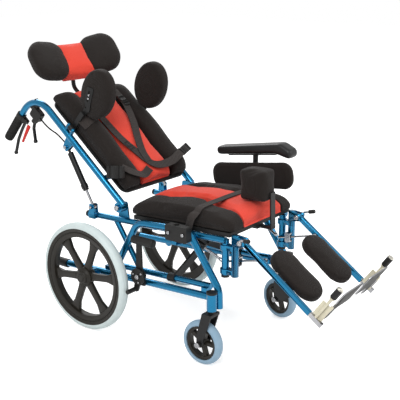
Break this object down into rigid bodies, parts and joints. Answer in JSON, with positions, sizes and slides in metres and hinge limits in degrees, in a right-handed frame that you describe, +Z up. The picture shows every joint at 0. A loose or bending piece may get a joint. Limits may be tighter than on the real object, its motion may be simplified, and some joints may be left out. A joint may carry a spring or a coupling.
{
  "type": "positioning wheelchair",
  "caption": "Reclining child's positioning wheelchair with padded seat, back, headrest, trunk pads, pommel and elevating leg rests on a blue tube frame.",
  "frame": {"origin": "on the floor, under the middle of the chair's length and width at rest", "axes": "+X forward, +Y to the chair's left, +Z up"},
  "size_m": [1.453, 0.584, 1.0101],
  "materials": {
    "blue_paint": "metallic gloss",
    "black_paint": "satin",
    "black_plastic": "fine grain",
    "gloss_black": "gloss",
    "rim_black": "satin",
    "pale_tyre": "smooth grey",
    "blue_grey_tyre": "smooth",
    "red_fabric": "woven",
    "black_fabric": "woven",
    "webbing": "ribbed webbing",
    "cable_black": "smooth",
    "bright_metal": "polished",
    "steel": "brushed",
    "alloy": "polished"
  },
  "bodies": {
    "frame": {"side_frame_right": "blue_paint", "side_frame_left": "blue_paint", "cross_brace": "black_paint", "seat_board": "black_plastic", "seat_cushion_center": "red_fabric", "seat_cushion_sides": "black_fabric", "frame_end_caps": "black_plastic", "armrest_sockets": "black_plastic", "wheel_lock_bases": "black_plastic", "lap_belt": "webbing"},
    "back": {"back_frame": "blue_paint", "back_board": "black_plastic", "back_cushion_center": "red_fabric", "back_bolsters": "black_fabric", "handle_fittings": "black_plastic", "recline_cylinders": "black_paint", "harness": "webbing", "back_cables": "cable_black"},
    "headrest_post": {"headrest_stem": "bright_metal"},
    "headrest": {"headrest_center": "red_fabric", "headrest_wings": "black_fabric"},
    "armrest": {"armrest_frame": "black_paint", "armrest_pad": "gloss_black", "side_cushion": "black_fabric"},
    "pommel": {"pommel_block": "black_fabric", "pommel_stem": "steel"},
    "wheel_right": {"rear_wheel_right": "rim_black", "rear_tyre_right": "pale_tyre"},
    "caster_swivel_right": {"caster_fork_right": "black_paint"},
    "caster_wheel_right": {"caster_rim_right": "rim_black", "caster_tyre_right": "blue_grey_tyre"},
    "trunk_support_right": {"lateral_arm_right": "black_paint", "lateral_pad_right": "black_fabric"},
    "strut_rod_right": {"recline_rod_right": "bright_metal"},
    "hanger_right": {"leg_hanger_right": "blue_paint"},
    "leg_right": {"leg_tube_right": "blue_paint", "calf_pad_right": "black_fabric"},
    "foot_right": {"footplate_right": "alloy"},
    "ratchet_right": {"ratchet_rod_right": "bright_metal"},
    "brake_right": {"brake_lever_right": "black_paint"},
    "release_right": {"release_lever_right": "black_paint"},
    "wheel_lock_right": {"wheel_lock_lever_right": "black_plastic"},
    "wheel_left": {"rear_wheel_left": "rim_black", "rear_tyre_left": "pale_tyre"},
    "caster_swivel_left": {"caster_fork_left": "black_paint"},
    "caster_wheel_left": {"caster_rim_left": "rim_black", "caster_tyre_left": "blue_grey_tyre"},
    "trunk_support_left": {"lateral_arm_left": "black_paint", "lateral_pad_left": "black_fabric"},
    "strut_rod_left": {"recline_rod_left": "bright_metal"},
    "hanger_left": {"leg_hanger_left": "blue_paint"},
    "leg_left": {"leg_tube_left": "blue_paint", "calf_pad_left": "black_fabric"},
    "foot_left": {"footplate_left": "alloy"},
    "ratchet_left": {"ratchet_rod_left": "bright_metal"},
    "brake_left": {"brake_lever_left": "black_paint"},
    "release_left": {"release_lever_left": "black_paint"},
    "wheel_lock_left": {"wheel_lock_lever_left": "black_plastic"}
  },
  "joints": [
    {"name": "recline", "type": "hinge", "parent": "frame", "child": "back", "pos_m": [-0.14057, 0, 0.46402], "axis": [0, 1, 0], "range_deg": [-8, 35]},
    {"name": "headrest_height", "type": "slide", "parent": "back", "child": "headrest_post", "axis": [-0.766, 0, 0.6428], "range_m": [-0.01, 0.08]},
    {"name": "headrest_tilt", "type": "hinge", "parent": "headrest_post", "child": "headrest", "pos_m": [-0.55525, 0, 0.88769], "axis": [0.342, 0.9397, 0], "range_deg": [-20, 8]},
    {"name": "armrest_lift", "type": "slide", "parent": "frame", "child": "armrest", "axis": [0, 0, 1], "range_m": [0, 0.12]},
    {"name": "pommel_reach", "type": "slide", "parent": "frame", "child": "pommel", "axis": [0.9994, 0, 0.0349], "range_m": [0, 0.08]},
    {"name": "rear_wheel_spin_right", "type": "hinge", "parent": "frame", "child": "wheel_right", "pos_m": [-0.25557, -0.266, 0.2], "axis": [0, 1, 0], "continuous": true},
    {"name": "caster_turn_right", "type": "hinge", "parent": "frame", "child": "caster_swivel_right", "pos_m": [0.28943, -0.236, 0.19], "axis": [0, 0, 1], "continuous": true},
    {"name": "caster_spin_right", "type": "hinge", "parent": "caster_swivel_right", "child": "caster_wheel_right", "pos_m": [0.25443, -0.236, 0.077], "axis": [0, 1, 0], "continuous": true},
    {"name": "strut_right", "type": "slide", "parent": "back", "child": "strut_rod_right", "axis": [0.5051, 0, -0.8631], "range_m": [-0.019, 0.0805]},
    {"name": "trunk_swing_right", "type": "hinge", "parent": "back", "child": "trunk_support_right", "pos_m": [-0.3721, -0.195, 0.71704], "axis": [0.766, 0, -0.6428], "range_deg": [0, 80]},
    {"name": "brake_squeeze_right", "type": "hinge", "parent": "back", "child": "brake_right", "pos_m": [-0.61244, -0.195, 0.71375], "axis": [0, 1, 0], "range_deg": [0, 10], "stiffness_Nm_per_rad": 4, "springref_deg": -2.86},
    {"name": "release_squeeze_right", "type": "hinge", "parent": "back", "child": "release_right", "pos_m": [-0.56068, -0.195, 0.72254], "axis": [0, 1, 0], "range_deg": [0, 10], "stiffness_Nm_per_rad": 4, "springref_deg": -2.86},
    {"name": "hanger_swing_right", "type": "hinge", "parent": "frame", "child": "hanger_right", "pos_m": [0.29843, -0.174, 0.38], "axis": [0, 0, -1], "range_deg": [0, 80]},
    {"name": "leg_raise_right", "type": "hinge", "parent": "hanger_right", "child": "leg_right", "pos_m": [0.36643, -0.174, 0.43385], "axis": [0, -1, 0], "range_deg": [-40, 30]},
    {"name": "foot_flip_right", "type": "hinge", "parent": "leg_right", "child": "foot_right", "pos_m": [0.66762, -0.158, 0.262], "axis": [0.5807, 0, 0.8141], "range_deg": [0, 88]},
    {"name": "ratchet_right", "type": "hinge", "parent": "leg_right", "child": "ratchet_right", "pos_m": [0.4397, -0.155, 0.38158], "axis": [0, -1, 0], "range_deg": [-14, 18.5]},
    {"name": "wheel_lock_turn_right", "type": "hinge", "parent": "frame", "child": "wheel_lock_right", "pos_m": [-0.02557, -0.231, 0.24384], "axis": [0, 1, 0], "range_deg": [0, 4]},
    {"name": "rear_wheel_spin_left", "type": "hinge", "parent": "frame", "child": "wheel_left", "pos_m": [-0.25557, 0.266, 0.2], "axis": [0, 1, 0], "continuous": true},
    {"name": "caster_turn_left", "type": "hinge", "parent": "frame", "child": "caster_swivel_left", "pos_m": [0.28943, 0.236, 0.19], "axis": [0, 0, 1], "continuous": true},
    {"name": "caster_spin_left", "type": "hinge", "parent": "caster_swivel_left", "child": "caster_wheel_left", "pos_m": [0.25507, 0.24268, 0.077], "axis": [0.1908, 0.9816, 0], "continuous": true},
    {"name": "strut_left", "type": "slide", "parent": "back", "child": "strut_rod_left", "axis": [0.5051, 0, -0.8631], "range_m": [-0.019, 0.0805]},
    {"name": "trunk_swing_left", "type": "hinge", "parent": "back", "child": "trunk_support_left", "pos_m": [-0.3721, 0.195, 0.71704], "axis": [-0.766, 0, 0.6428], "range_deg": [0, 80]},
    {"name": "brake_squeeze_left", "type": "hinge", "parent": "back", "child": "brake_left", "pos_m": [-0.61244, 0.195, 0.71375], "axis": [0, 1, 0], "range_deg": [0, 10], "stiffness_Nm_per_rad": 4, "springref_deg": -2.86},
    {"name": "release_squeeze_left", "type": "hinge", "parent": "back", "child": "release_left", "pos_m": [-0.56068, 0.195, 0.72254], "axis": [0, 1, 0], "range_deg": [0, 10], "stiffness_Nm_per_rad": 4, "springref_deg": -2.86},
    {"name": "hanger_swing_left", "type": "hinge", "parent": "frame", "child": "hanger_left", "pos_m": [0.29843, 0.174, 0.38], "axis": [0, 0, 1], "range_deg": [0, 80]},
    {"name": "leg_raise_left", "type": "hinge", "parent": "hanger_left", "child": "leg_left", "pos_m": [0.36643, 0.174, 0.43385], "axis": [0, -1, 0], "range_deg": [-40, 30]},
    {"name": "foot_flip_left", "type": "hinge", "parent": "leg_left", "child": "foot_left", "pos_m": [0.66762, 0.158, 0.262], "axis": [-0.5807, 0, -0.8141], "range_deg": [0, 88]},
    {"name": "ratchet_left", "type": "hinge", "parent": "leg_left", "child": "ratchet_left", "pos_m": [0.4397, 0.155, 0.38158], "axis": [0, -1, 0], "range_deg": [-14, 18.5]},
    {"name": "wheel_lock_turn_left", "type": "hinge", "parent": "frame", "child": "wheel_lock_left", "pos_m": [-0.02557, 0.231, 0.24384], "axis": [0, 1, 0], "range_deg": [0, 4]}
  ],
  "couplings": [
    {"joint": "strut_right", "follows": "recline", "m_per_rad": 0.13},
    {"joint": "ratchet_right", "follows": "leg_raise_right", "ratio": -0.43},
    {"joint": "strut_left", "follows": "recline", "m_per_rad": 0.13},
    {"joint": "ratchet_left", "follows": "leg_raise_left", "ratio": -0.43}
  ]
}
